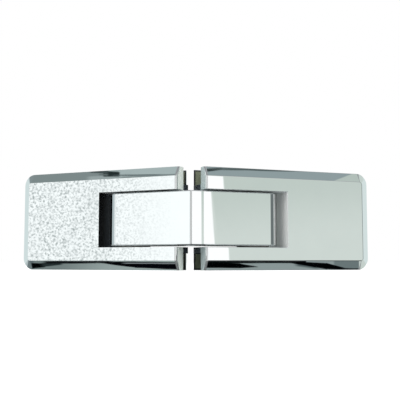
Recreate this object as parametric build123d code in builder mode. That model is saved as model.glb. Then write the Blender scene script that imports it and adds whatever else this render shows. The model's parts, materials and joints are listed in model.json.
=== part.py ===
"""A glass door hinge that joins two panes of glass at 135 degrees.

Each leaf clamps its pane between two bevelled plates with rubber gaskets. A bent pivot block stands in the
notches of both leaves. The door leaf turns on its pin, and the fixed leaf's pin is locked in the block.

Sizes are in millimetres. +X runs across both leaves, the door leaf being the one at +X, +Y points to the side
that the leaves fold towards, and +Z is up. The origin is the centre of the hinge's box, at its bottom.
"""

from build123d import *
from math import cos, hypot, radians, sin, tan
import os

os.makedirs("parts", exist_ok=True)

# ---------------------------------------------------------------------------------------------------------
# Driving sizes
# ---------------------------------------------------------------------------------------------------------

# The two leaves, measured outwards from the bend and back from the front face
fold_angle = 135.0
plate_height = 50.0
plate_start = 7.45
plate_reach = 99.0
plate_thickness = 7.0
corner_radius = 6.0
bevel_width = 4.7
bevel_depth = 2.8
end_rounding = 1.2
door_end_gap = 0.4
fixed_end_gap = 3.4

# Glass and gaskets
glass_thickness = 8.0
gasket_thickness = 1.5
gasket_inset = 0.9
gasket_gap = 0.3

# Pivot block
block_height = 26.0
block_edge = 0.5
bend_facet = 1.15
pin_reach = 37.5
notch_gap = 0.8
tip_reach = 9.0
tip_rounding = 5.5
tip_gap = 0.2
joint_reach = 6.4
tenon_length = 10.4
tenon_wall = 4.6
tenon_cheek = 7.6
tenon_gap = 0.1

# Collar around the notch, which bridges the glass and holds the pin's ends
collar_wall = 3.0
collar_boss = 13.0
clamp_gap = 0.2
ear_wall = 0.8

# Pins and bushes
pin_diameter = 10.0
pin_square = 8.0
pin_square_length = 4.6
pin_flats = 8.6
flats_margin = 0.2
pocket_gap = 0.05
shoulder_gap = 0.1
bush_wall = 1.5
bush_length = 5.0
flange_thickness = 0.6
flange_width = 1.5
running_gap = 0.05
seat_gap = 0.02
bore_gap = 0.3

# Detent plungers and springs
plunger_diameter = 7.0
plunger_length = 6.0
plunger_chamfer = 0.8
nose_gap = 0.1
spigot_diameter = 3.6
spigot_length = 3.0
spring_wire_width = 1.3
spring_wire_height = 1.0
spring_turns = 4.0

# Screws
clamp_screw_diameter = 6.0
clamp_screw_clearance = 0.3
clamp_head_diameter = 12.0
clamp_head_rim = 0.4
clamp_head_gap = 0.1
clamp_screw_spacing = 22.0
clamp_hex = 4.0
clamp_hex_depth = 2.4
front_skin = 2.3
tip_space = 0.5
thread_gap = 0.02
tenon_screw_diameter = 5.0
tenon_screw_reach = 14.0
tenon_hex = 2.5
lock_screw_diameter = 6.0
lock_hex = 3.0
grub_recess = 0.4
grub_hex_depth = 2.5

# ---------------------------------------------------------------------------------------------------------
# Sizes and places that follow from them
# ---------------------------------------------------------------------------------------------------------

turn = radians((180.0 - fold_angle) / 2)
leaf_depth = 2 * plate_thickness + 2 * gasket_thickness + glass_thickness
mid_height = plate_height / 2
mid_depth = leaf_depth / 2
notch_height = block_height + 2 * notch_gap
# The arm's rounded tip turns inside the notch, so its furthest point from the pin sets the notch's end
tip_swing = hypot(tip_reach - tip_rounding, mid_depth - tip_rounding) + tip_rounding
notch_end = pin_reach + tip_swing + tip_gap
collar_end = notch_end + collar_boss
collar_depth = mid_depth - plate_thickness - clamp_gap / 2
ear_radius = hypot(pin_square / 2, pin_square_length) + ear_wall
screw_reach = notch_end + collar_boss / 2
pin_radius = pin_diameter / 2
pin_length = notch_height + 2 * pin_square_length
pin_flats_height = block_height - 2 * (bush_length + flats_margin)
# Plungers and locking screws stand in pairs on the flats
pair_spacing = pin_flats_height / 2
bush_bore_radius = pin_radius + running_gap
bush_radius = bush_bore_radius + bush_wall
tenon_end = joint_reach + tenon_length
tenon_height = block_height - 2 * tenon_wall
tenon_depth = leaf_depth - 2 * tenon_cheek
plunger_nose = pin_reach - pin_radius - nose_gap
plunger_back = plunger_nose - plunger_length

# The hinge's box is centred on the origin
front_y = bend_facet / 2 * tan(turn)
rear_y = (plate_reach - bevel_width) * sin(turn) + leaf_depth * cos(turn)
bend = Vector(0, -(front_y + rear_y) / 2, 0)

# Directions of the door leaf. The fixed leaf mirrors it.
outwards = Vector(cos(turn), sin(turn), 0)
backwards = Vector(-sin(turn), cos(turn), 0)
upwards = Vector(0, 0, 1)

# The front face: local X runs outwards and local Y up
leaf_face = Plane(origin=bend, x_dir=outwards, z_dir=-backwards)
mid_plane = leaf_face.offset(-mid_depth)
# The plan view: local X runs outwards and local Y backwards
leaf_plan = Plane(origin=bend, x_dir=outwards, z_dir=upwards)
# The arm's cross-section: local X runs backwards and local Y up
leaf_section = Plane(origin=bend, x_dir=backwards, z_dir=outwards)
pin_plane = Plane(leaf_plan.from_local_coords((pin_reach, mid_depth, 0)), x_dir=outwards, z_dir=upwards)
half_height = Plane.XY.offset(mid_height)


def save(piece, name):
    """Label a finished piece and write it out."""
    piece.part.label = name
    export_step(piece.part, f"parts/{name}.step")


def leaf_outline(inset):
    """Draw the leaf's outline: square at the inner end, rounded at the outer corners."""
    with Locations(((plate_start + plate_reach) / 2, mid_height)):
        outline = Rectangle(plate_reach - plate_start - 2 * inset, plate_height - 2 * inset)
    fillet(outline.vertices().group_by(Axis.X)[-1], corner_radius - inset)


def collar_outline(grow, mode):
    """Draw the collar's outer shape: a band round the notch, a boss at its end and an ear at each pin end."""
    with Locations(((plate_start + collar_end) / 2, mid_height)):
        Rectangle(collar_end - plate_start + 2 * grow, notch_height + 2 * collar_wall + 2 * grow, mode=mode)
    with Locations((pin_reach, mid_height - notch_height / 2), (pin_reach, mid_height + notch_height / 2)):
        Circle(ear_radius + grow, mode=mode)


# ---------------------------------------------------------------------------------------------------------
# Clamping plates
# ---------------------------------------------------------------------------------------------------------

with BuildPart() as plate_blank:
    with BuildSketch(leaf_face):
        leaf_outline(0)
    extrude(amount=-plate_thickness)
    # Bevel the top, the outer end and the bottom of the face
    face = plate_blank.faces().sort_by(Axis(bend, -backwards))[-1]
    bevelled = face.edges().sort_by(Axis(bend, outwards))[1:]
    chamfer(bevelled, length=bevel_width, length2=bevel_depth, reference=face)
    # Half of the collar stands on the back
    with BuildSketch(leaf_face.offset(-plate_thickness)):
        collar_outline(0, Mode.ADD)
    extrude(amount=-collar_depth)
    # The notch for the block's arm
    with BuildSketch(leaf_face):
        with Locations((notch_end / 2, mid_height)):
            Rectangle(notch_end, notch_height)
    extrude(amount=-leaf_depth, mode=Mode.SUBTRACT)
    # Half pockets clamp the squared ends of the pin
    with BuildSketch(mid_plane):
        with Locations((pin_reach, mid_height)):
            Rectangle(pin_square + 2 * pocket_gap, pin_length + 2 * pocket_gap)
    extrude(amount=pin_square / 2 + pocket_gap, mode=Mode.SUBTRACT)


def is_inner_front(edge):
    """Tell an edge between the inner end and the face or a bevel."""
    place = leaf_face.to_local_coords(edge.center())
    return abs(place.X - plate_start) < 0.01 and -place.Z < bevel_depth


screw_places = [(screw_reach, mid_height + side * clamp_screw_spacing / 2) for side in (-1, 1)]

with BuildPart() as door_front_plate:
    add(plate_blank.part)
    # The inner end's front edges are rounded, along the face and the bevels
    fillet(door_front_plate.edges().filter_by(is_inner_front), end_rounding)
    # Blind threads for the clamp screws
    with BuildSketch(mid_plane):
        with Locations(*screw_places):
            Circle(clamp_screw_diameter / 2 + thread_gap)
    extrude(amount=mid_depth - front_skin, mode=Mode.SUBTRACT)

with BuildPart() as back_plate_blank:
    mirror(plate_blank.part, about=mid_plane)
    with BuildSketch(mid_plane):
        with Locations(*screw_places):
            Circle(clamp_screw_diameter / 2 + clamp_screw_clearance)
    extrude(amount=-mid_depth, mode=Mode.SUBTRACT)
    # Countersinks, with a short straight rim
    with BuildSketch(leaf_face.offset(-leaf_depth)):
        with Locations(*screw_places):
            Circle(clamp_head_diameter / 2 + clamp_head_gap)
    extrude(amount=clamp_head_rim, mode=Mode.SUBTRACT)
    with BuildSketch(leaf_face.offset(-leaf_depth + clamp_head_rim)):
        with Locations(*screw_places):
            Circle(clamp_head_diameter / 2 + clamp_head_gap)
    extrude(amount=(clamp_head_diameter - clamp_screw_diameter) / 2, taper=45, mode=Mode.SUBTRACT)

# The back plates end short of the middle, the fixed leaf's further off for the door's corner to swing past it
with BuildPart() as door_back_plate:
    add(back_plate_blank.part)
    split(bisect_by=Plane.YZ.offset(door_end_gap), keep=Keep.TOP)

with BuildPart() as fixed_front_plate:
    mirror(door_front_plate.part, about=Plane.YZ)

with BuildPart() as fixed_back_plate:
    mirror(back_plate_blank.part, about=Plane.YZ)
    split(bisect_by=Plane.YZ.offset(-fixed_end_gap), keep=Keep.BOTTOM)

save(door_front_plate, "door_front_plate")
save(door_back_plate, "door_back_plate")
save(fixed_front_plate, "fixed_front_plate")
save(fixed_back_plate, "fixed_back_plate")

# ---------------------------------------------------------------------------------------------------------
# Gaskets
# ---------------------------------------------------------------------------------------------------------

with BuildPart() as door_front_gasket:
    with BuildSketch(leaf_face.offset(-plate_thickness)):
        leaf_outline(gasket_inset)
        collar_outline(gasket_gap, Mode.SUBTRACT)
    extrude(amount=-gasket_thickness)

with BuildPart() as door_back_gasket:
    mirror(door_front_gasket.part, about=mid_plane)
    split(bisect_by=Plane.YZ.offset(door_end_gap + gasket_inset), keep=Keep.TOP)

with BuildPart() as fixed_front_gasket:
    mirror(door_front_gasket.part, about=Plane.YZ)

with BuildPart() as fixed_back_gasket:
    mirror(door_front_gasket.part, about=mid_plane)
    mirror(about=Plane.YZ, mode=Mode.REPLACE)
    split(bisect_by=Plane.YZ.offset(-fixed_end_gap - gasket_inset), keep=Keep.BOTTOM)

save(door_front_gasket, "door_front_gasket")
save(door_back_gasket, "door_back_gasket")
save(fixed_front_gasket, "fixed_front_gasket")
save(fixed_back_gasket, "fixed_back_gasket")

# ---------------------------------------------------------------------------------------------------------
# Pins and bushes
# ---------------------------------------------------------------------------------------------------------

with BuildPart() as door_pivot_pin:
    # Squared ends for the leaf's pockets
    with BuildSketch(pin_plane.offset(mid_height - pin_length / 2)):
        Circle(pin_radius)
        Rectangle(pin_square, pin_square, mode=Mode.INTERSECT)
    extrude(amount=pin_length)
    # Round journal between the notch's walls
    journal_length = notch_height - 2 * shoulder_gap
    with BuildSketch(pin_plane.offset(mid_height - journal_length / 2)):
        Circle(pin_radius)
    extrude(amount=journal_length)
    # Four flats at mid-height, for the detent or the locking screws
    with BuildSketch(pin_plane.offset(mid_height - pin_flats_height / 2)):
        Circle(pin_radius)
        Rectangle(pin_flats, pin_flats, mode=Mode.SUBTRACT)
    extrude(amount=pin_flats_height, mode=Mode.SUBTRACT)

with BuildPart() as fixed_pivot_pin:
    mirror(door_pivot_pin.part, about=Plane.YZ)

save(door_pivot_pin, "door_pivot_pin")
save(fixed_pivot_pin, "fixed_pivot_pin")

with BuildPart() as door_lower_bush:
    block_bottom = mid_height - block_height / 2
    with BuildSketch(pin_plane.offset(block_bottom)):
        Circle(bush_radius)
    extrude(amount=bush_length)
    with BuildSketch(pin_plane.offset(block_bottom)):
        Circle(bush_radius + flange_width)
    extrude(amount=-flange_thickness)
    with BuildSketch(pin_plane):
        Circle(bush_bore_radius)
    extrude(amount=plate_height, mode=Mode.SUBTRACT)

with BuildPart() as door_upper_bush:
    mirror(door_lower_bush.part, about=half_height)

with BuildPart() as fixed_lower_bush:
    mirror(door_lower_bush.part, about=Plane.YZ)

with BuildPart() as fixed_upper_bush:
    mirror(door_upper_bush.part, about=Plane.YZ)

save(door_lower_bush, "door_lower_bush")
save(door_upper_bush, "door_upper_bush")
save(fixed_lower_bush, "fixed_lower_bush")
save(fixed_upper_bush, "fixed_upper_bush")

# ---------------------------------------------------------------------------------------------------------
# Pivot block: a bent bar in two pieces, joined by a tenon square to the door arm
# ---------------------------------------------------------------------------------------------------------

with BuildPart() as arm_blank:
    with BuildSketch(leaf_plan.offset(mid_height - block_height / 2)) as arm_outline:
        with BuildLine():
            arm_tip = pin_reach + tip_reach
            facet_middle = (front_y * sin(turn), front_y * cos(turn))
            facet_corner = (bend_facet / 2 / cos(turn), 0)
            Polyline((leaf_depth * tan(turn), leaf_depth), facet_middle, facet_corner, (arm_tip, 0))
            Polyline((arm_tip, 0), (arm_tip, leaf_depth), (leaf_depth * tan(turn), leaf_depth))
        make_face()
        fillet(arm_outline.vertices().group_by(Axis.X)[-1], tip_rounding)
    extrude(amount=block_height)
    # Break the top and bottom edges, except where the arms join
    ends = arm_blank.faces().sort_by(Axis.Z)
    rims = (ends[0].edges() + ends[-1].edges()).filter_by(lambda edge: abs(edge.center().X) > bend_facet / 8)
    chamfer(rims, length=block_edge)
    # Bore for the pin, opened at both ends for the bushes
    with BuildSketch(pin_plane):
        Circle(pin_radius + bore_gap)
    extrude(amount=plate_height, mode=Mode.SUBTRACT)
    seat_length = bush_length + seat_gap
    seat_bottoms = (mid_height - block_height / 2, mid_height + block_height / 2 - seat_length)
    with BuildSketch(*[pin_plane.offset(seat_bottom) for seat_bottom in seat_bottoms]):
        Circle(bush_radius + seat_gap)
    extrude(amount=seat_length, mode=Mode.SUBTRACT)

lock_screw_places = [(pin_reach, mid_height + side * pair_spacing / 2) for side in (-1, 1)]
tenon_screw_places = [(tenon_screw_reach, mid_height + side * tenon_height / 4) for side in (-1, 1)]

with BuildPart() as fixed_arm:
    add(arm_blank.part)
    with BuildSketch(leaf_face.offset(-leaf_depth)):
        with Locations(*lock_screw_places):
            Circle(lock_screw_diameter / 2 + thread_gap)
    extrude(amount=mid_depth, mode=Mode.SUBTRACT)

with BuildPart() as block_blank:
    mirror(fixed_arm.part, about=Plane.YZ)
    add(arm_blank.part)

joint_plane = leaf_section.offset(joint_reach)

with BuildPart() as pivot_block:
    add(block_blank.part)
    split(bisect_by=joint_plane, keep=Keep.BOTTOM)
    with BuildSketch(joint_plane):
        with Locations((mid_depth, mid_height)):
            Rectangle(tenon_depth, tenon_height)
    extrude(amount=tenon_length)

with BuildPart() as door_arm_block:
    add(block_blank.part)
    split(bisect_by=joint_plane, keep=Keep.TOP)
    # Mortise for the tenon
    with BuildSketch(joint_plane):
        with Locations((mid_depth, mid_height)):
            Rectangle(tenon_depth + 2 * tenon_gap, tenon_height + 2 * tenon_gap)
    extrude(amount=tenon_length + tenon_gap, mode=Mode.SUBTRACT)
    # Bores for the detent plungers, from the mortise to the pin's bore
    with BuildSketch(leaf_section.offset(tenon_end)):
        with Locations((mid_depth, mid_height)):
            with GridLocations(0, pair_spacing, 1, 2):
                Circle(plunger_diameter / 2 + running_gap)
    extrude(amount=pin_reach - tenon_end, mode=Mode.SUBTRACT)
    # Threads for the screws that hold the tenon
    with BuildSketch(leaf_face.offset(-leaf_depth)):
        with Locations(*tenon_screw_places):
            Circle(tenon_screw_diameter / 2 + thread_gap)
    extrude(amount=mid_depth - tenon_depth / 2, mode=Mode.SUBTRACT)

save(pivot_block, "pivot_block")
save(door_arm_block, "door_arm_block")

# ---------------------------------------------------------------------------------------------------------
# Detent: two sprung plungers that bear on the door pin's flats
# ---------------------------------------------------------------------------------------------------------

for number, side in enumerate((-1, 1), start=1):
    detent_height = mid_height + side * pair_spacing / 2
    detent_axis = leaf_section.from_local_coords((mid_depth, detent_height, 0))
    detent_plane = Plane(detent_axis, x_dir=backwards, z_dir=outwards)

    with BuildPart() as detent_plunger:
        with BuildSketch(detent_plane.offset(plunger_back)):
            Circle(plunger_diameter / 2)
        extrude(amount=plunger_length)
        nose = detent_plunger.faces().sort_by(Axis(detent_axis, outwards))[-1]
        chamfer(nose.edges(), length=plunger_chamfer)
        with BuildSketch(detent_plane.offset(plunger_back)):
            Circle(spigot_diameter / 2)
        extrude(amount=-spigot_length)

    # A spring of flat wire, from the tenon to the plunger's shoulder
    spring_radius = (plunger_diameter - spring_wire_width) / 2 - running_gap
    spring_length = plunger_back - tenon_end - spring_wire_height - 2 * seat_gap
    spring_start = detent_plane.offset(tenon_end + seat_gap + spring_wire_height / 2).origin
    with BuildPart() as detent_spring:
        with BuildLine() as coil:
            Helix(
                pitch=spring_length / spring_turns,
                height=spring_length,
                radius=spring_radius,
                center=spring_start,
                direction=outwards,
            )
        wire_start = coil.line @ 0
        with BuildSketch(Plane(wire_start, x_dir=wire_start - spring_start, z_dir=coil.line % 0)):
            Rectangle(spring_wire_width, spring_wire_height)
        sweep(is_frenet=True)

    save(detent_plunger, f"detent_plunger_{number}")
    save(detent_spring, f"detent_spring_{number}")

# ---------------------------------------------------------------------------------------------------------
# Screws
# ---------------------------------------------------------------------------------------------------------


def hexagon(across_flats):
    """Draw a hexagonal socket."""
    RegularPolygon(across_flats / 2, 6, major_radius=False)


for number, place in enumerate(screw_places, start=1):
    head_centre = leaf_face.from_local_coords((place[0], place[1], -leaf_depth))
    # Local X runs outwards and local Y forwards, into the leaf
    screw_profile = Plane(head_centre, x_dir=outwards, z_dir=-upwards)
    head_radius = clamp_head_diameter / 2
    shank_radius = clamp_screw_diameter / 2
    shank_end = leaf_depth - front_skin - tip_space

    with BuildPart() as door_clamp_screw:
        with BuildSketch(screw_profile):
            with BuildLine():
                Polyline(
                    (0, 0),
                    (head_radius, 0),
                    (head_radius, clamp_head_rim),
                    (shank_radius, clamp_head_rim + head_radius - shank_radius),
                    (shank_radius, shank_end),
                    (0, shank_end),
                    close=True,
                )
            make_face()
        revolve(axis=Axis(head_centre, -backwards))
        with BuildSketch(leaf_face.offset(-leaf_depth)):
            with Locations(place):
                hexagon(clamp_hex)
        extrude(amount=clamp_hex_depth, mode=Mode.SUBTRACT)

    with BuildPart() as fixed_clamp_screw:
        mirror(door_clamp_screw.part, about=Plane.YZ)

    save(door_clamp_screw, f"door_clamp_screw_{number}")
    save(fixed_clamp_screw, f"fixed_clamp_screw_{number}")

for number, place in enumerate(tenon_screw_places, start=1):
    with BuildPart() as tenon_screw:
        with BuildSketch(leaf_face.offset(-leaf_depth + grub_recess)):
            with Locations(place):
                Circle(tenon_screw_diameter / 2)
        extrude(amount=mid_depth - tenon_depth / 2 - grub_recess)
        with BuildSketch(leaf_face.offset(-leaf_depth + grub_recess)):
            with Locations(place):
                hexagon(tenon_hex)
        extrude(amount=grub_hex_depth, mode=Mode.SUBTRACT)
    save(tenon_screw, f"tenon_screw_{number}")

for number, place in enumerate(lock_screw_places, start=1):
    with BuildPart() as lock_screw_blank:
        with BuildSketch(leaf_face.offset(-leaf_depth + grub_recess)):
            with Locations(place):
                Circle(lock_screw_diameter / 2)
        extrude(amount=mid_depth - pin_flats / 2 - grub_recess)
        with BuildSketch(leaf_face.offset(-leaf_depth + grub_recess)):
            with Locations(place):
                hexagon(lock_hex)
        extrude(amount=grub_hex_depth, mode=Mode.SUBTRACT)
    with BuildPart() as lock_screw:
        mirror(lock_screw_blank.part, about=Plane.YZ)
    save(lock_screw, f"lock_screw_{number}")
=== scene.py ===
# %% [markdown]
# # A bevelled hinge for a glass door
# The hinge joins two panes of glass that meet at an obtuse angle. Each leaf is a pair of polished plates
# that clamp one pane between rubber gaskets, and a solid block at the bend carries both leaves on its pins.
# Every shape comes from the CAD frame, so this lesson is mostly about finish: how polished metal is shown,
# which is by what it reflects. It starts by loading the frame and keeping its box.

# %% Load the frame
import json
import math

import bmesh
import bpy
from mathutils import Matrix, Vector


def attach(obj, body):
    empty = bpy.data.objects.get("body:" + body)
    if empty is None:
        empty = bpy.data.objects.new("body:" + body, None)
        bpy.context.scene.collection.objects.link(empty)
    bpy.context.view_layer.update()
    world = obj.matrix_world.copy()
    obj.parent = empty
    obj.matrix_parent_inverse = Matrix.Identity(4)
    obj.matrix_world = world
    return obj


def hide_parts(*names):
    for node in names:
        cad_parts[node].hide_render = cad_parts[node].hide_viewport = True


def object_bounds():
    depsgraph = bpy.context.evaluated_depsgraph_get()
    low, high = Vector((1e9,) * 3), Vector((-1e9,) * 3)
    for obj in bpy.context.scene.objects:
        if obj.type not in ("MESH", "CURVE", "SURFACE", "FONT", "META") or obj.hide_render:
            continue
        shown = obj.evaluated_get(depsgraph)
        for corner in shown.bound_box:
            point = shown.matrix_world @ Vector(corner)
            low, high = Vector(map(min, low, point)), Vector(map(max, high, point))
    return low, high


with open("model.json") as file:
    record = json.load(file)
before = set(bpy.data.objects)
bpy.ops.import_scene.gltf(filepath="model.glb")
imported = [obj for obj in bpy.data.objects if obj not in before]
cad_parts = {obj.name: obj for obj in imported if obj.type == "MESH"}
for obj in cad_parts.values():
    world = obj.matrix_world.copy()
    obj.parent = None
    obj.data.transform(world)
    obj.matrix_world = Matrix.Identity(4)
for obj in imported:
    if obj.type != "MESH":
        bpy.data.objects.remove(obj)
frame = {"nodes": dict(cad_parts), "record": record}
cad_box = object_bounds()
nodes = frame["nodes"]
print("CAD nodes:", len(nodes))
print("CAD box, mm:", [round(1000 * (high - low), 2) for low, high in zip(*cad_box)])

# %% [markdown]
# # Helpers for paint and nodes
# A colour is mixed here as a paint chart gives it, in steps from 0 to 255 as the eye sees them, and turned
# into the linear light that shaders work in. The node helpers keep the later cells short: they add a node
# or a group and fill its sockets. A group could also be drawn by hand in the shader editor; in code it can
# be read, and its numbers carry names.


# %% Helpers
def paint(red, green, blue):
    """Linear colour of a paint-chart colour: each step / 255, undone by the screen's curve."""
    steps = [value / 255 for value in (red, green, blue)]
    return [s / 12.92 if s <= 0.04045 else ((s + 0.055) / 1.055) ** 2.4 for s in steps] + [1.0]


def add(tree, kind, inputs=None, **settings):
    """Adds a node. A value in inputs that is a socket is linked, and any other value is written in."""
    node = tree.nodes.new(kind)
    for name, value in settings.items():
        setattr(node, name, value)
    for key, value in (inputs or {}).items():
        if isinstance(value, bpy.types.NodeSocket):
            tree.links.new(value, node.inputs[key])
        else:
            node.inputs[key].default_value = value
    return node


def sum_up(tree, operation, *values):
    """One Math node on the given values or sockets."""
    return add(tree, "ShaderNodeMath", dict(enumerate(values)), operation=operation).outputs[0]


def blend(tree, amount, first, second):
    """first where amount is 0 and second where it is 1, as colours."""
    return add(tree, "ShaderNodeMix", {0: amount, 6: first, 7: second}, data_type="RGBA").outputs[2]


def noise(tree, place, scale, detail, roughness=0.5):
    """The value of a Noise Texture, from 0 to 1 and mostly near the middle."""
    inputs = {"Vector": place, "Scale": scale, "Detail": detail, "Roughness": roughness}
    return add(tree, "ShaderNodeTexNoise", inputs).outputs["Fac"]


def stretch(tree, value, old_low, old_high, new_low=0.0, new_high=1.0, **settings):
    """Stretches a value from one range to another and holds it there at the ends."""
    old_range = {"Value": value, "From Min": old_low, "From Max": old_high}
    new_range = {"To Min": new_low, "To Max": new_high}
    return add(tree, "ShaderNodeMapRange", {**old_range, **new_range}, **settings).outputs["Result"]


def how_far(tree, place, direction):
    """How far a place lies in a direction, in metres."""
    both = {0: place, 1: direction}
    return add(tree, "ShaderNodeVectorMath", both, operation="DOT_PRODUCT").outputs["Value"]


def open_group(name, inputs, outputs):
    """A shader node group with named sockets. Inputs are (name, type, default)."""
    group = bpy.data.node_groups.new(name, "ShaderNodeTree")
    for label, kind, default in inputs:
        socket = group.interface.new_socket(name=label, in_out="INPUT", socket_type="NodeSocket" + kind)
        if default is not None:
            socket.default_value = default
    for label, kind in outputs:
        group.interface.new_socket(name=label, in_out="OUTPUT", socket_type="NodeSocket" + kind)
    return group, group.nodes.new("NodeGroupInput").outputs, group.nodes.new("NodeGroupOutput").inputs


def use_group(tree, group, inputs):
    """Places a group in a tree with its own values."""
    return add(tree, "ShaderNodeGroup", inputs, node_tree=group).outputs


print("helpers ready")

# %% [markdown]
# # Which way the leaves point
# Both leaves turn back by the same angle from a line across the front of the hinge. Several finishes need
# to know which way is outwards along a leaf and which is backwards through it. The angle could be measured
# on a plate's face, but it is the hinge's main number, half of what the two panes turn, so it is stated.

# %% Leaf directions
LEAF_TURN = math.radians(22.5)
SIDES = {"door": 1, "fixed": -1}


def leaf_directions(leaf):
    """Outwards along a leaf and backwards through it."""
    side = SIDES[leaf]
    outwards = Vector((side * math.cos(LEAF_TURN), math.sin(LEAF_TURN), 0))
    backwards = Vector((-side * math.sin(LEAF_TURN), math.cos(LEAF_TURN), 0))
    return outwards, backwards


def middle_of_leaf(leaf):
    """How far back the middle plane of a leaf lies: halfway between the outer faces of its two plates."""
    backwards = leaf_directions(leaf)[1]
    front = min(vertex.co.dot(backwards) for vertex in nodes[leaf + "_front_plate"].data.vertices)
    back = max(vertex.co.dot(backwards) for vertex in nodes[leaf + "_back_plate"].data.vertices)
    return (front + back) / 2


for leaf in SIDES:
    print(leaf, "leaf: middle plane", round(1000 * middle_of_leaf(leaf), 2), "mm back")

# %% [markdown]
# # What a polishing wheel leaves
# Polished plating is never quite flat. The wheel leaves waves some 25 mm long and a few hundredths of a
# degree steep, which bend a straight reflection a little, and a faint haze from wiping. Sculpting such
# waves would need millions of faces, so a group works out their height from noise, and a Bump node in
# each material turns it into a slope. The same group gives the haze that the roughness follows, and it can
# lean a whole surface by a fraction of a degree.

# %% Polishing waves and haze
waves, given, out = open_group(
    "polishing_waves",
    [
        ("Vector", "Vector", None),
        ("Waves per Metre", "Float", 40.0),
        ("Wave Height", "Float", 0.00001),
        ("Lean", "Float", 0.0),
        ("Clear Roughness", "Float", 0.004),
        ("Hazy Roughness", "Float", 0.018),
    ],
    [("Height", "Float"), ("Roughness", "Float"), ("Haze", "Float")],
)
long_wave = noise(waves, given["Vector"], given["Waves per Metre"], detail=1.0)
swell = sum_up(waves, "MULTIPLY", long_wave, given["Wave Height"])
sideways = add(waves, "ShaderNodeSeparateXYZ", {0: given["Vector"]}).outputs["X"]
leaning = sum_up(waves, "MULTIPLY", sideways, given["Lean"])
waves.links.new(sum_up(waves, "ADD", swell, leaning), out["Height"])
wiping = noise(waves, given["Vector"], scale=90.0, detail=4.0, roughness=0.6)
haze = stretch(waves, wiping, 0.35, 0.7, given["Clear Roughness"], given["Hazy Roughness"])
waves.links.new(haze, out["Roughness"])
waves.links.new(wiping, out["Haze"])
print("group:", waves.name, len(waves.nodes), "nodes")

# %% [markdown]
# # Where the polish rolls over an end
# The block is made in two pieces, and polishing rolls the end of the first one over before the seam, over
# a width of 1.5 mm and with a radius of some 43 mm. That is too flat for a fillet to be worth its faces,
# so it is slope too: past a line, the height drops with the square of the distance.

# %% Rolled end
rolled, given, out = open_group(
    "rolled_end",
    [
        ("Vector", "Vector", None),
        ("Outwards", "Vector", (1, 0, 0)),
        ("Roll From", "Float", 0.0),
        ("Roll", "Float", 11.7),
    ],
    [("Height", "Float")],
)
outwards = how_far(rolled, given["Vector"], given["Outwards"])
past = sum_up(rolled, "MAXIMUM", sum_up(rolled, "SUBTRACT", outwards, given["Roll From"]), 0.0)
drop = sum_up(rolled, "MULTIPLY", sum_up(rolled, "MULTIPLY", past, past), given["Roll"])
rolled.links.new(sum_up(rolled, "MULTIPLY", drop, -1.0), out["Height"])
print("group:", rolled.name, len(rolled.nodes), "nodes")

# %% [markdown]
# # Chrome plate
# The plates and the block are cast or milled, polished and plated. Chrome is a metal shader with a nearly
# white, slightly cool colour and very low roughness. The block gets its own copies, because its faces sit
# half a degree out of true with the plates, as clamped parts do, and long reflections show that. One of
# them also rolls over at the seam.

# %% Chrome
BLOCK_LEAN = -0.01
STUB_ROLLS_FROM = -0.00645
CLEAN_CHROME = (0.82, 0.83, 0.83, 1)
WIPED_CHROME = (0.78, 0.79, 0.795, 1)


def start_material(name):
    """A new material with its Principled shader, and the coordinates of the piece itself."""
    material = bpy.data.materials.new(name)
    material.use_nodes = True
    tree = material.node_tree
    tree.nodes.clear()
    shader = add(tree, "ShaderNodeBsdfPrincipled")
    add(tree, "ShaderNodeOutputMaterial", {"Surface": shader.outputs[0]})
    place = add(tree, "ShaderNodeTexCoord").outputs["Object"]
    return material, tree, shader, place


def dress(tree, shader, colour, roughness, height, depth=1.0):
    """Links a colour, a roughness and a height to a shader. A height of 1 stands depth metres high."""
    bump = add(tree, "ShaderNodeBump", {"Height": height, "Distance": depth, "Strength": 1.0})
    tree.links.new(colour, shader.inputs["Base Color"])
    tree.links.new(roughness, shader.inputs["Roughness"])
    tree.links.new(bump.outputs[0], shader.inputs["Normal"])


def chrome_plate(name, lean=0.0, rolls=False):
    """Chrome: metallic 1, colour and roughness follow the haze, slope follows the waves."""
    material, tree, shader, place = start_material(name)
    polish = use_group(tree, waves, {"Vector": place, "Lean": lean})
    height = polish["Height"]
    if rolls:
        outwards = leaf_directions("door")[0]
        end = use_group(tree, rolled, {"Vector": place, "Outwards": outwards, "Roll From": STUB_ROLLS_FROM})
        height = sum_up(tree, "ADD", height, end["Height"])
    colour = blend(tree, polish["Haze"], CLEAN_CHROME, WIPED_CHROME)
    shader.inputs["Metallic"].default_value = 1.0
    dress(tree, shader, colour, polish["Roughness"], height)
    return material


plate_chrome = chrome_plate("plate_chrome")
block_chrome = chrome_plate("block_chrome", lean=BLOCK_LEAN)
rolled_chrome = chrome_plate("rolled_chrome", lean=BLOCK_LEAN, rolls=True)
print("finishes:", plate_chrome.name, block_chrome.name, rolled_chrome.name)

# %% [markdown]
# # Turned and ground steel
# The pins, plungers and screws are turned or ground, so their marks run round them in fine rings. A wave
# texture could draw even rings, but real ones differ in width, so noise is read along one axis only: the
# other two are squeezed until they hardly count.

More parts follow.
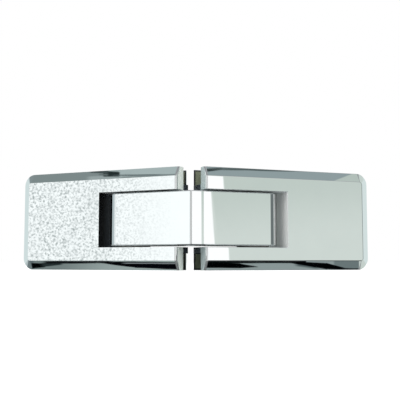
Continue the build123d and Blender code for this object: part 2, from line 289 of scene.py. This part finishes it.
# %% Turned marks
ALONG_THE_AXIS = (0.02, 0.02, 1.0)
turned, given, out = open_group(
    "turned_marks",
    [
        ("Vector", "Vector", None),
        ("Lines per Metre", "Float", 4000.0),
        ("Fine Roughness", "Float", 0.18),
        ("Coarse Roughness", "Float", 0.35),
    ],
    [("Height", "Float"), ("Roughness", "Float"), ("Mark", "Float")],
)
squeezing = {0: given["Vector"], 1: ALONG_THE_AXIS}
squeezed = add(turned, "ShaderNodeVectorMath", squeezing, operation="MULTIPLY").outputs[0]
rings = noise(turned, squeezed, given["Lines per Metre"], detail=3.0, roughness=0.7)
rough = stretch(turned, rings, 0.3, 0.7, given["Fine Roughness"], given["Coarse Roughness"])
turned.links.new(rings, out["Height"])
turned.links.new(rings, out["Mark"])
turned.links.new(rough, out["Roughness"])
print("group:", turned.name, len(turned.nodes), "nodes")


# %% Steel, screws and springs
def turned_metal(name, bright, dull, fine, coarse, lines, depth):
    """A turned metal: colour between dull and bright, roughness and slope, all following the rings."""
    material, tree, shader, place = start_material(name)
    look = {"Vector": place, "Lines per Metre": lines, "Fine Roughness": fine, "Coarse Roughness": coarse}
    marks = use_group(tree, turned, look)
    colour = blend(tree, marks["Mark"], dull, bright)
    shader.inputs["Metallic"].default_value = 1.0
    dress(tree, shader, colour, marks["Roughness"], marks["Height"], depth)
    return material


# name: bright and dull colour, fine and coarse roughness, lines per metre, depth
TURNED_METALS = {
    "pin_steel": ((0.66, 0.67, 0.69, 1), (0.42, 0.43, 0.45, 1), 0.16, 0.34, 5000, 0.000004),
    "screw_chrome": ((0.9, 0.91, 0.92, 1), (0.74, 0.75, 0.77, 1), 0.07, 0.2, 7000, 0.000002),
    "spring_wire": ((0.4, 0.41, 0.43, 1), (0.2, 0.2, 0.22, 1), 0.25, 0.45, 3000, 0.000005),
}
turned_finish = {name: turned_metal(name, *numbers) for name, numbers in TURNED_METALS.items()}
print("finishes:", *turned_finish)

# %% [markdown]
# # Painted shade deep in the gaps
# Light reaches only a few millimetres into a gap, and deeper inside the metal lies in shade. That shade is
# painted into the colour. Faces could be cut where the shade starts, but the change is soft, so a group
# measures how far a point lies from the middle plane of its leaf and makes a mask of it: 0 inside, where
# the painted shade is full, and 1 near the mouth of the gap.

# %% Painted shade in the depth of a gap
reach, given, out = open_group(
    "painted_gap_shade",
    [
        ("Vector", "Vector", None),
        ("Backwards", "Vector", (0, 1, 0)),
        ("Middle", "Float", 0.0),
        ("Shade Until", "Float", 0.005),
        ("Light From", "Float", 0.006),
    ],
    [("Reach", "Float")],
)
# The mask is 0 deep in a gap, where painted shade is full, and 1 near the mouth, where the light reaches.
backwards = how_far(reach, given["Vector"], given["Backwards"])
from_middle = sum_up(reach, "ABSOLUTE", sum_up(reach, "SUBTRACT", backwards, given["Middle"]))
reach.links.new(stretch(reach, from_middle, given["Shade Until"], given["Light From"]), out["Reach"])
print("group:", reach.name, len(reach.nodes), "nodes")

# %% [markdown]
# # Rubber and bearing plastic
# The gaskets are die-cut from a firm olive sheet with a fine pressed grain. The bushes are moulded in a
# pale bearing plastic. Both are dull, with a grain that one group draws from two sizes of noise. A pattern
# of dots would be simpler, but nothing that is pressed or cast looks so even.

# %% Grain
grain, given, out = open_group(
    "pressed_grain",
    [
        ("Vector", "Vector", None),
        ("Grains per Metre", "Float", 2500.0),
        ("Dull", "Float", 0.7),
        ("Shiny", "Float", 0.5),
    ],
    [("Height", "Float"), ("Roughness", "Float"), ("Mottle", "Float")],
)
patches = noise(grain, given["Vector"], scale=160.0, detail=3.0, roughness=0.6)
fine_grain = noise(grain, given["Vector"], given["Grains per Metre"], detail=2.0, roughness=0.6)
grain.links.new(fine_grain, out["Height"])
grain.links.new(stretch(grain, patches, 0.3, 0.7, given["Shiny"], given["Dull"]), out["Roughness"])
grain.links.new(patches, out["Mottle"])
print("group:", grain.name, len(grain.nodes), "nodes")


# %% Grained finishes
def grained(name, dark, pale, shiny, dull, grains, depth, metallic=0.0, gloss=0.5, inside=None):
    """A dull material: colour and roughness follow the mottle, and the slope follows the grain.

    inside, where given, is a painted shade colour that takes over in the depth of a gap, and the leaf of
    that gap.
    The two distances from the leaf's middle where that painted shade ends and the outer colour is full may
    follow.
    """
    material, tree, shader, place = start_material(name)
    size_and_sheen = {"Grains per Metre": grains, "Dull": dull, "Shiny": shiny}
    look = use_group(tree, grain, {"Vector": place, **size_and_sheen})
    colour = blend(tree, look["Mottle"], dark, pale)
    # Deep in a gap the colour turns to the painted shade.
    if inside:
        deep, leaf, *limits = inside
        where = {"Vector": place, "Backwards": leaf_directions(leaf)[1], "Middle": middle_of_leaf(leaf)}
        mask = use_group(tree, reach, {**where, **dict(zip(("Shade Until", "Light From"), limits))})
        colour = blend(tree, mask["Reach"], deep, colour)
    shader.inputs["Metallic"].default_value = metallic
    shader.inputs["Specular IOR Level"].default_value = gloss
    dress(tree, shader, colour, look["Roughness"], look["Height"], depth)
    return material


OLIVE = (paint(103, 110, 91), paint(144, 151, 128))
IVORY = (paint(206, 205, 197), paint(226, 225, 218))
gasket_rubber = grained("gasket_rubber", *OLIVE, 0.55, 0.8, grains=2500, depth=0.00005)
bush_plastic = grained("bush_plastic", *IVORY, 0.4, 0.55, grains=3500, depth=0.00001)
print("finishes:", gasket_rubber.name, bush_plastic.name)

# %% [markdown]
# # Faces inside the hinge
# What faces the glass is bare casting: dull and grainy, and painted dark for the shade between the plates.
# The inner ends are ground on a belt, which leaves a pale satin that shows no clear reflections and turns
# to a painted slate shade inside; the fixed leaf's end is painted lighter than the door leaf's, for how the
# light falls on each. The notch's end wall is painted nearly black on the fixed leaf, for the shade there
# that the light doesn't reach, and painted pale on the door leaf, standing in for the bright reflection in
# its chrome.
# The level walls between the plates and the arms are satin too. All of them start from the grain group.

# %% Castings, ground ends and notch walls
CASTING_GRAINS = 3000
CASTING_DEPTH = 0.000004
# Slate painted as the shade deep inside the gaps of the inner ends.
SLATE_SHADE = paint(46, 54, 61)


def satin(name, dark, pale, shiny, dull, **more):
    """A dull metal face with the fine grain of a casting."""
    return grained(name, paint(*dark), paint(*pale), shiny, dull, CASTING_GRAINS, CASTING_DEPTH, **more)


# Bare casting: dull and grainy, and painted dark for the shade between the plates.
shaded_casting = satin("shaded_casting", (44, 46, 48), (66, 69, 72), 0.4, 0.6, metallic=0.4)
hidden_wall = satin("hidden_wall", (204, 211, 212), (222, 229, 230), 0.35, 0.5, metallic=0.25)
# One ground finish in a lit and a shaded copy: the fixed leaf's end painted lighter, the door leaf's
# darker, for how the light falls on each.
ground_end = {
    "fixed": satin("ground_end_painted_lit", (234, 242, 235), (242, 250, 243), 0.5, 0.6, inside=(SLATE_SHADE, "fixed")),
    "door": satin("ground_end_painted_shaded", (190, 205, 206), (200, 214, 214), 0.5, 0.6, inside=(SLATE_SHADE, "door")),
}
# The notch's end walls are painted: nearly black shade on the fixed leaf, turning to a paler slate shade
# deeper in,
# and near white on the door leaf for the reflection in its chrome, with a little painted shade deeper in.
deep_dark = (paint(46, 55, 66), "fixed", 0.003, 0.008)
deep_pale = (paint(236, 240, 238), "door", 0.003, 0.009)
notch_end = {
    "fixed": satin("painted_shade_wall", (4, 6, 8), (10, 12, 16), 0.25, 0.4, gloss=0.12, inside=deep_dark),
    "door": satin("painted_light_wall", (250, 253, 250), (255, 255, 255), 0.5, 0.6, inside=deep_pale),
}
for finish in (shaded_casting, hidden_wall, *ground_end.values(), *notch_end.values()):
    print("finish:", finish.name)

# %% [markdown]
# # Softened edges
# A plated edge is never a knife edge: polishing rounds it by a few tenths of a millimetre, and that
# rounding catches a thin line of light. It could be cut in the CAD, but it belongs to the look and is too
# small to matter for the fit. So each casting that shows is copied, its loose triangles are merged into
# whole faces, and a Bevel modifier rounds every sharp edge. The copy stands for the solid and rides on the
# same body. A mirror shows a bent shading normal at once, even by a quarter of a degree, so a second
# modifier gives each corner the normal of the largest face that meets there. Faces whose areas differ by
# less than SAME_AREA, in square metres, count alike, which keeps round corners smooth.

# %% Softened copies
EDGE_ROUNDING = 0.00028
ROUNDING_STEPS = 3
SHARP_EDGE = math.radians(24)
SAME_PLACE = 0.000002
SAME_PLANE = math.radians(0.6)
SAME_AREA = 0.00001
LARGEST_FACE_ONLY = 100
bodies = frame["record"]["behaviour"]["bodies"]
body_of_node = {name: body for body, names in bodies.items() for name in names}


def merged_copy(node):
    """A copy of a CAD solid's mesh, with its loose triangles joined into whole faces."""
    mesh = nodes[node].data.copy()
    mesh.name = node + "_polished"
    work = bmesh.new()
    work.from_mesh(mesh)
    bmesh.ops.remove_doubles(work, verts=work.verts, dist=SAME_PLACE)
    bmesh.ops.dissolve_limit(work, angle_limit=SAME_PLANE, verts=work.verts, edges=work.edges)
    bmesh.ops.recalc_face_normals(work, faces=work.faces)
    work.to_mesh(mesh)
    work.free()
    if mesh.has_custom_normals:
        mesh.attributes.remove(mesh.attributes["custom_normal"])
    mesh.polygons.foreach_set("use_smooth", [True] * len(mesh.polygons))
    return mesh


def soften(node, finishes, choose):
    """A merged copy with rounded edges. choose(face) gives the number of each face's finish."""
    mesh = merged_copy(node)
    mesh.materials.clear()
    for finish in finishes:
        mesh.materials.append(finish)
    mesh.polygons.foreach_set("material_index", [choose(face) for face in mesh.polygons])
    piece = bpy.data.objects.new(node + "_polished", mesh)
    bpy.context.scene.collection.objects.link(piece)
    rounding = piece.modifiers.new("edge rounding", "BEVEL")
    rounding.width = EDGE_ROUNDING
    rounding.segments = ROUNDING_STEPS
    rounding.limit_method = "ANGLE"
    rounding.angle_limit = SHARP_EDGE
    flatten = piece.modifiers.new("flat faces stay flat", "WEIGHTED_NORMAL")
    flatten.weight = LARGEST_FACE_ONLY
    flatten.thresh = SAME_AREA
    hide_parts(node)
    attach(piece, body_of_node[node])
    print(piece.name, len(piece.data.polygons), "faces before rounding")


print("faces are joined below", round(math.degrees(SAME_PLANE), 2), "degrees")

# %% [markdown]
# # Which face gets which finish
# Only the outside of a plate is polished. Its inner end is ground to a satin, the end wall of the notch is
# painted pale on the door leaf for its reflection and painted nearly black on the fixed leaf for its shade,
# the notch's long walls are satin, and what faces the glass is bare casting, painted dark for its shade. A
# face's finish follows from the way it looks: outwards along the leaf, back towards the glass, or up or
# down, within some 11 degrees. A list of face numbers would be shorter, but it would break with the first
# change of shape.

# %% Plates and blocks
SAME_WAY = 0.98  # the cosine of some 11 degrees
INNER_END_DEPTH = 0.002
MID_HEIGHT = (cad_box[0].z + cad_box[1].z) / 2


def is_level(face):
    """Whether a face looks straight up or down."""
    return abs(face.normal.z) > SAME_WAY


def block_chooser(face):
    """Finish 0 is polished, and 1 is for the level faces, which the wheel can't reach between the walls."""
    return int(is_level(face))


def plate_chooser(leaf, node, front):
    """Chooses from polish, inner end, notch's end wall, what faces the glass and notch's long walls."""
    outwards, backwards = leaf_directions(leaf)
    inner_end = min(vertex.co.dot(outwards) for vertex in nodes[node].data.vertices)
    to_glass = backwards if front else -backwards

    def choose(face):
        if face.normal.dot(to_glass) > SAME_WAY:
            return 3
        if face.normal.dot(outwards) < -SAME_WAY:
            return 1 if face.center.dot(outwards) < inner_end + INNER_END_DEPTH else 2
        looks_to_mid_height = (face.normal.z > 0) == (face.center.z < MID_HEIGHT)
        return 4 if is_level(face) and looks_to_mid_height else 0

    return choose


for leaf in SIDES:
    finishes = [plate_chrome, ground_end[leaf], notch_end[leaf], shaded_casting, hidden_wall]
    for front in (True, False):
        node = leaf + ("_front_plate" if front else "_back_plate")
        soften(node, finishes, plate_chooser(leaf, node, front))
soften("pivot_block", [rolled_chrome, hidden_wall], block_chooser)
soften("door_arm_block", [block_chrome, hidden_wall], block_chooser)

# %% [markdown]
# # Finishes on the CAD nodes
# The small parts keep their CAD meshes, whose facets are finer than the eye can see here, and only get a
# finish. The finish goes by the node's slot, so one change of a slot's finish reaches all its pieces.

# %% Finishes by slot
finish_of_slot = {
    "chrome": plate_chrome,
    "clamp_screw": turned_finish["screw_chrome"],
    "steel": turned_finish["pin_steel"],
    "spring": turned_finish["spring_wire"],
    "gasket": gasket_rubber,
    "bush": bush_plastic,
}
slot_of_word = {
    "pin": "steel",
    "plunger": "steel",
    "tenon_screw": "steel",
    "lock_screw": "steel",
    "spring": "spring",
    "gasket": "gasket",
    "bush": "bush",
    "clamp_screw": "clamp_screw",
}
for name, node in nodes.items():
    slot = next((slot_of_word[word] for word in slot_of_word if word in name), "chrome")
    node.data.materials.clear()
    node.data.materials.append(finish_of_slot[slot])
print("finished", len(nodes), "nodes")

# %% [markdown]
# # A studio for shiny metal
# Chrome has no colour of its own: it shows the room. So the room is built as a product studio is built,
# from pale and dark cards round the hinge. Real cards could be modelled as glowing planes, but they would
# stand in the way of some view; here each card is a patch of sky in the world shader, given by the
# direction that it lies in, its tilt and its size, all in degrees. Only reflections see the cards. The
# camera sees white, and dull surfaces get plain even light.

# %% One card
card, given, out = open_group(
    "studio_card",
    [
        ("Turn", "Vector", None),
        ("Width", "Float", 10.0),
        ("Height", "Float", 10.0),
        ("Taper", "Float", 0.0),
        ("Edge Softness", "Float", 0.1),
        ("End Softness", "Float", 0.1),
    ],
    [("Mask", "Float")],
)
CARD_INPUTS = ("Width", "Height", "Taper", "Edge Softness", "End Softness")
direction = add(card, "ShaderNodeTexCoord").outputs["Generated"]
turning = {"Vector": direction, "Rotation": given["Turn"]}
facing = add(card, "ShaderNodeVectorRotate", turning, rotation_type="EULER_XYZ", invert=True).outputs[0]
along = add(card, "ShaderNodeSeparateXYZ", {0: facing}).outputs
sideways = sum_up(card, "DEGREES", sum_up(card, "ARCTAN2", along["Y"], along["X"]))
upwards = sum_up(card, "DEGREES", sum_up(card, "ARCSINE", along["Z"]))
half_width = sum_up(card, "MULTIPLY", given["Width"], 0.5)
half_height = sum_up(card, "MULTIPLY", given["Height"], 0.5)
share = sum_up(card, "DIVIDE", sideways, half_width)
tapered = sum_up(card, "MULTIPLY", half_height, sum_up(card, "MULTIPLY_ADD", given["Taper"], share, 1.0))


def inside_edge(distance, half, softness):
    """1 well inside a card's edge and 0 outside it, with a smooth step of the given softness."""
    room_left = sum_up(card, "SUBTRACT", half, sum_up(card, "ABSOLUTE", distance))
    step = sum_up(card, "ADD", sum_up(card, "DIVIDE", room_left, softness), 0.5)
    return stretch(card, step, 0.0, 1.0, interpolation_type="SMOOTHSTEP")


between_ends = inside_edge(sideways, half_width, given["End Softness"])
between_edges = inside_edge(upwards, tapered, given["Edge Softness"])
card.links.new(sum_up(card, "MULTIPLY", between_ends, between_edges), out["Mask"])
print("group:", card.name, len(card.nodes), "nodes")

# %% [markdown]
# # Walls of the studio
# Behind the cards the room shades from a dark floor to a bright ceiling. A colour ramp holds that shade by
# the height of the direction above the horizon, in degrees, so every side of the hinge has something to
# reflect. A ready-made panorama of a room could stand here instead, but nobody could move its walls.

# %% Walls
STOPS = [
    (-90, (70, 72, 74)),
    (-58, (104, 107, 108)),
    (-46, (138, 142, 143)),
    (-30, (150, 154, 154)),
    (-12, (196, 201, 200)),
    (2, (206, 211, 208)),
    (20, (196, 203, 200)),
    (40, (158, 162, 164)),
    (52, (133, 137, 140)),
    (62, (136, 139, 142)),
    (75, (190, 193, 195)),
    (90, (215, 217, 218)),
]
world = bpy.data.worlds.new("studio")
bpy.context.scene.world = world
world.use_nodes = True
room = world.node_tree
room.nodes.clear()
direction = add(room, "ShaderNodeTexCoord").outputs["Generated"]
upright = add(room, "ShaderNodeSeparateXYZ", {0: direction}).outputs["Z"]
level = sum_up(room, "DEGREES", sum_up(room, "ARCSINE", upright))
walls = add(room, "ShaderNodeValToRGB", {"Fac": stretch(room, level, -90.0, 90.0)})
ramp = walls.color_ramp
while len(ramp.elements) < len(STOPS):
    ramp.elements.new(0.5)
for element, (degrees, colour) in zip(ramp.elements, STOPS):
    element.position = (degrees + 90) / 180
    element.color = paint(*colour)
look = walls.outputs["Color"]
print("wall stops:", len(ramp.elements))

# %% [markdown]
# # Cards of the studio
# Big cards stand round the hinge at eye level: a white sheet on the left, a grey-green wall on the right,
# and dark flags beside the bend, which draw its two lines. The long bevels tip the view to the floor and
# the ceiling, and there each dark streak is a small patch of its own, laid over the plain shade before it.
# The streaks could be painted on the metal, but then they would turn with the leaf.

# %% Cards
# name: azimuth, elevation, tilt, width, height, taper, edge and end softness, colour
CARDS = {
    # round the hinge at eye level
    "white sheet, left": (-147.5, 3, 0, 31, 56, 0, 1, 1, (250, 255, 255)),
    "dark flag, left": (-121.5, 3, 0, 20, 60, 0, 2, 2, (8, 10, 12)),
    "front strip": (-96, 3, 0, 34, 60, 0, 2, 2, (252, 254, 254)),
    "dark flag, right": (-71.5, 3, 0, 18, 60, 0, 2, 2, (14, 17, 19)),
    "white strip, right": (-53.4, 3, 0, 18.8, 60, 0, 0.15, 0.15, (254, 255, 255)),
    "grey-green wall": (-28.2, 3, 3.5, 33, 56, 0, 0.5, 0.12, (204, 213, 208)),
    "wall shade, top": (-28.87, 14, 3.5, 33, 18, 0, 5, 0.12, (190, 201, 195)),
    "grey gap, right": (-7, 3, 0, 42, 56, 0, 1, 8, (104, 112, 112)),
    "right end": (30, 3, 0, 32, 56, 0, 1, 2, (208, 220, 219)),
    "grey gap, left": (175, 3, 0, 44, 56, 0, 1, 3, (176, 188, 190)),
    "left end": (131, 3, 0, 44, 56, 0, 1, 2, (204, 217, 217)),
    # dark bands that the lower edges pick up
    "dark band, left": (-153.5, -28, -23, 21, 36, 0, 2, 2, (22, 26, 28)),
    "dark band, right": (-33, -28, 23, 21, 36, 0, 2, 2, (22, 26, 28)),
    # what the four round corners pick up
    "left corner, top": (170, 42, 0, 34, 24, 0, 3, 3, (128, 140, 141)),
    "left corner, bottom": (172, -38, 0, 34, 28, 0, 3, 3, (108, 120, 121)),
    "right corner, top": (9, 30, 0, 30, 34, 0, 4, 4, (196, 207, 202)),
    "right corner, bottom": (7, -26, 0, 32, 34, 0, 4, 4, (196, 206, 201)),
    # small patches over the four long bevels
    "floor, left": (-165.53, -48.53, -44.7, 14.3, 1.262, 0, 0.047, 0.16, (112, 124, 123)),
    "floor, left, paler": (-161.98, -50.7, -41.9, 9.7, 1.27, 0, 0.048, 4.77, (146, 159, 157)),
    "floor, left, corner": (-171.43, -44.07, -48.9, 1.03, 1.238, 0, 0.046, 0.06, (92, 104, 106)),
    "floor patch, left": (-170.68, -44.76, -45.8, 1.03, 0.373, -0.17, 0.062, 0.17, (2, 4, 4)),
    "floor patch tail, left": (-169.59, -45.48, -44.4, 1.53, 0.219, -0.36, 0.094, 0.46, (36, 46, 46)),
    "floor thread, left": (-167.43, -46.83, -45.8, 5.29, 0.188, 0, 0.047, 0.62, (16, 20, 22)),
    "floor wedge, left": (-164.29, -49.04, -47.2, 3.01, 0.293, 0.68, 0.047, 0.05, (2, 3, 5)),
    "floor wedge root, left": (-160.68, -51.34, -42.2, 3.67, 0.532, 0.07, 0.048, 0.06, (4, 5, 9)),
    "floor hair, left": (-161.18, -50.85, -41.5, 4.3, 0.075, 0.05, 0.04, 0.64, (120, 128, 130)),
    "floor, right": (-19.82, -51.68, 40.6, 13.88, 1.265, 0, 0.047, 0.16, (137, 149, 149)),
    "floor, right, darker": (-13.57, -47.91, 45.4, 3.21, 1.245, 0, 0.047, 0.23, (104, 116, 117)),
    "floor, right, end": (-12.44, -47.12, 46.2, 1.61, 1.239, 0, 0.046, 0.06, (193, 202, 198)),
    "floor rule, right": (-23.04, -52.89, 38.2, 8.11, 0.199, -0.04, 0.048, 0.12, (8, 12, 14)),
    "floor blob, right": (-26.39, -54.71, 34.3, 2.96, 0.422, -0.09, 0.056, 0.08, (1, 2, 3)),
    "floor blob tip, right": (-23.37, -53.49, 34.5, 1.51, 0.207, -0.85, 0.048, 0.04, (1, 2, 3)),
    "floor shade, right": (-17.7, -50.45, 37.6, 1.72, 0.315, 0.25, 0.173, 0.62, (76, 87, 88)),
    "floor wedge, right": (-17.67, -50.3, 36.1, 2.9, 0.307, 0.64, 0.055, 0.06, (2, 3, 4)),
    "floor wedge tip, right": (-15.04, -49.05, 35.5, 1.48, 0.321, -0.56, 0.055, 0.06, (2, 3, 4)),
    "floor edge, right": (-13.66, -48.33, 45.1, 1.3, 0.163, -0.05, 0.047, 0.08, (24, 28, 29)),
    "ceiling, left": (-173.17, 52.84, 51.5, 14.35, 1.431, 0, 0.048, 0.16, (124, 136, 136)),
    "ceiling, left, lower": (-172.87, 52.7, 53.6, 2.68, 0.318, 0, 0.119, 0.63, (150, 162, 162)),
    "ceiling, left, paler": (-169.01, 56.47, 51.4, 6.5, 0.96, 0, 0.064, 0.1, (163, 177, 177)),
    "ceiling, left, sliver": (-172.84, 53.7, 51.8, 0.95, 0.167, 0.14, 0.064, 0.24, (154, 168, 168)),
    "ceiling beak, left": (-172.71, 53.3, 49.4, 1.29, 0.398, -0.12, 0.08, 0.16, (36, 46, 46)),
    "ceiling upper tail, left": (-173.96, 52.62, 49.6, 1.42, 0.191, 0.25, 0.079, 0.31, (66, 77, 77)),
    "ceiling lower tail, left": (-173.31, 52.76, 50.3, 0.71, 0.111, 0.14, 0.079, 0.24, (96, 107, 107)),
    "ceiling thread, left": (-170.11, 55.01, 50.1, 3.75, 0.096, -0.25, 0.064, 1.75, (84, 96, 98)),
    "ceiling, right": (-12.19, 56.29, -48.8, 13.93, 1.434, 0, 0.048, 0.16, (141, 155, 157)),
    "ceiling, right, end": (-7.59, 51.96, -30.1, 6.58, 1.569, 0, 0.094, 0.08, (178, 190, 184)),
    "ceiling hook, right": (-19.17, 60.6, -36.5, 1.37, 0.216, -0.19, 0.064, 0.16, (50, 60, 60)),
    "ceiling thread, right": (-14.26, 58.18, -47.1, 6.86, 0.152, -0.26, 0.064, 2.39, (82, 94, 94)),
}
for azimuth, elevation, tilt, *shape, colour in CARDS.values():
    turn = [math.radians(angle) for angle in (tilt, -elevation, azimuth)]
    mask = use_group(room, card, {"Turn": turn, **dict(zip(CARD_INPUTS, shape))})
    look = blend(room, mask["Mask"], look, paint(*colour))
print("studio cards:", len(CARDS))

# %% [markdown]
# # Pebbled paper
# The white sheet on the left is pebbled paper, which puts a fine grain on the left leaf. The grain is noise
# on the direction, darker in its dimples, and it fades towards the front, where the paper is turned away.
# A bump on the plates would do it too, but it would roughen every other reflection with it.

# %% Pebbles
PEBBLE_COLOUR = paint(150, 160, 160)
PEBBLES_IN_A_RADIAN = 370.0
PEBBLED_TURN = (0, 0, math.radians(-152))
PEBBLED_SHEET = (21.0, 50.0, 0.0, 4.0, 10.0)  # width, height, taper, edge and end softness
pebbles = noise(room, direction, PEBBLES_IN_A_RADIAN, detail=2.0, roughness=0.6)
dimples = stretch(room, pebbles, 0.43, 0.72)
sheet = use_group(room, card, {"Turn": PEBBLED_TURN, **dict(zip(CARD_INPUTS, PEBBLED_SHEET))})
look = blend(room, sum_up(room, "MULTIPLY", dimples, sheet["Mask"]), look, PEBBLE_COLOUR)
print("pebbles in a radian:", PEBBLES_IN_A_RADIAN)

# %% [markdown]
# # Who sees what
# The three kinds of ray are kept apart. A camera ray meets plain white, so the hinge stands on a white
# page. A glossy ray meets the cards, a little brightened, because chrome gives back four fifths of the
# light. All other rays meet an even white, which lights rubber, casting and floor without a direction.

# %% World output
EVEN_LIGHT = 0.55
CARD_LIGHT = 1.25
WHITE = (1, 1, 1, 1)
rays = add(room, "ShaderNodeLightPath").outputs
seen_white = add(room, "ShaderNodeBackground", {"Color": WHITE, "Strength": 1.0}).outputs[0]
seen_cards = add(room, "ShaderNodeBackground", {"Color": look, "Strength": CARD_LIGHT}).outputs[0]
even_light = add(room, "ShaderNodeBackground", {"Color": WHITE, "Strength": EVEN_LIGHT}).outputs[0]
by_gloss = add(room, "ShaderNodeMixShader", {0: rays["Is Glossy Ray"], 1: even_light, 2: seen_cards})
whole = add(room, "ShaderNodeMixShader", {0: rays["Is Camera Ray"], 1: by_gloss.outputs[0], 2: seen_white})
add(room, "ShaderNodeOutputWorld", {"Surface": whole.outputs[0]})
print("even light on dull surfaces:", EVEN_LIGHT)

# %% [markdown]
# # Lamps
# Three large soft lamps shape the dull parts and cast the contact shadow. A sun would be simpler, but its
# light is hard and comes from one side. Polished metal doesn't show the lamps, because it has its cards.

# %% Lamps
# name: place, size and power
LAMPS = {
    "key": ((-0.5, -0.6, 0.7), 0.6, 3.2),
    "fill": ((0.6, -0.5, 0.5), 0.6, 2.0),
    "back": ((0.1, 0.7, 0.8), 0.7, 2.4),
}
middle = (cad_box[0] + cad_box[1]) / 2
for name, (place, size, power) in LAMPS.items():
    lamp = bpy.data.lights.new(name + "_lamp", "AREA")
    lamp.size = size
    lamp.energy = power
    holder = bpy.data.objects.new(name + "_lamp", lamp)
    holder.location = place
    holder.rotation_euler = (middle - Vector(place)).to_track_quat("-Z", "Y").to_euler()
    holder.visible_glossy = False
    bpy.context.scene.collection.objects.link(holder)
print("lamps:", sorted(LAMPS))

# %% [markdown]
# # Floor
# The hinge stands on pale, dull paper, which also glows a little for the camera, so that it runs into the
# white page. Paper that showed in the metal would wash out its lower edges, so reflections look through it
# to the dark cards below, and those give the lower bevels their black streaks.

# %% Floor
FLOOR_SIZE = 4.0
FLOOR_GAP = 0.00002
FLOOR_PAINT = (0.8, 0.8, 0.8, 1)
FLOOR_LIFT = 0.62
half = FLOOR_SIZE / 2
corners = [(-half, -half, 0), (half, -half, 0), (half, half, 0), (-half, half, 0)]
floor_mesh = bpy.data.meshes.new("floor")
floor_mesh.from_pydata(corners, [], [(0, 1, 2, 3)])
floor = bpy.data.objects.new("floor", floor_mesh)
floor.location.z = cad_box[0].z - FLOOR_GAP
bpy.context.scene.collection.objects.link(floor)
pale_floor = bpy.data.materials.new("pale_floor")
pale_floor.use_nodes = True
tree = pale_floor.node_tree
tree.nodes.clear()
rays = add(tree, "ShaderNodeLightPath").outputs
dull = add(tree, "ShaderNodeBsdfDiffuse", {"Color": FLOOR_PAINT}).outputs[0]
lift_for_camera = sum_up(tree, "MULTIPLY", rays["Is Camera Ray"], FLOOR_LIFT)
lift = add(tree, "ShaderNodeEmission", {"Color": WHITE, "Strength": lift_for_camera}).outputs[0]
pale = add(tree, "ShaderNodeAddShader", {0: dull, 1: lift}).outputs[0]
clear = add(tree, "ShaderNodeBsdfTransparent").outputs[0]
either = add(tree, "ShaderNodeMixShader", {0: rays["Is Glossy Ray"], 1: pale, 2: clear})
add(tree, "ShaderNodeOutputMaterial", {"Surface": either.outputs[0]})
floor_mesh.materials.append(pale_floor)
print("floor at", round(1000 * floor.location.z, 3), "mm")

# %% [markdown]
# # Camera
# The camera stands close to the floor, a little to the right of the bend, and looks slightly up, which is
# why the top edges of the leaves run apart. It could be aimed at the hinge by a constraint, but three
# small angles are easier to compare and to nudge. Its place was worked out from the hinge's own edges.

# %% Camera
CAMERA_PLACE = (0.015291, -0.364794, 0.00438)
LEVEL = math.radians(90)
LOOK_UP = math.radians(4.909)
TURN_LEFT = math.radians(1.896)
ROLL = math.radians(0.034)
FOCAL_LENGTH = 64.2308
SENSOR_WIDTH = 36.0
lens = bpy.data.cameras.new("camera")
lens.lens = FOCAL_LENGTH
lens.sensor_width = SENSOR_WIDTH
lens.clip_start = 0.01
lens.clip_end = 20.0
camera = bpy.data.objects.new("camera", lens)
turned_to = (
    Matrix.Rotation(TURN_LEFT, 4, "Z")
    @ Matrix.Rotation(LEVEL + LOOK_UP, 4, "X")
    @ Matrix.Rotation(ROLL, 4, "Z")
)
camera.matrix_world = Matrix.Translation(CAMERA_PLACE) @ turned_to
bpy.context.scene.collection.objects.link(camera)
bpy.context.scene.camera = camera
bpy.context.scene.view_settings.view_transform = "Standard"
print("camera at", CAMERA_PLACE, "lens", lens.lens)
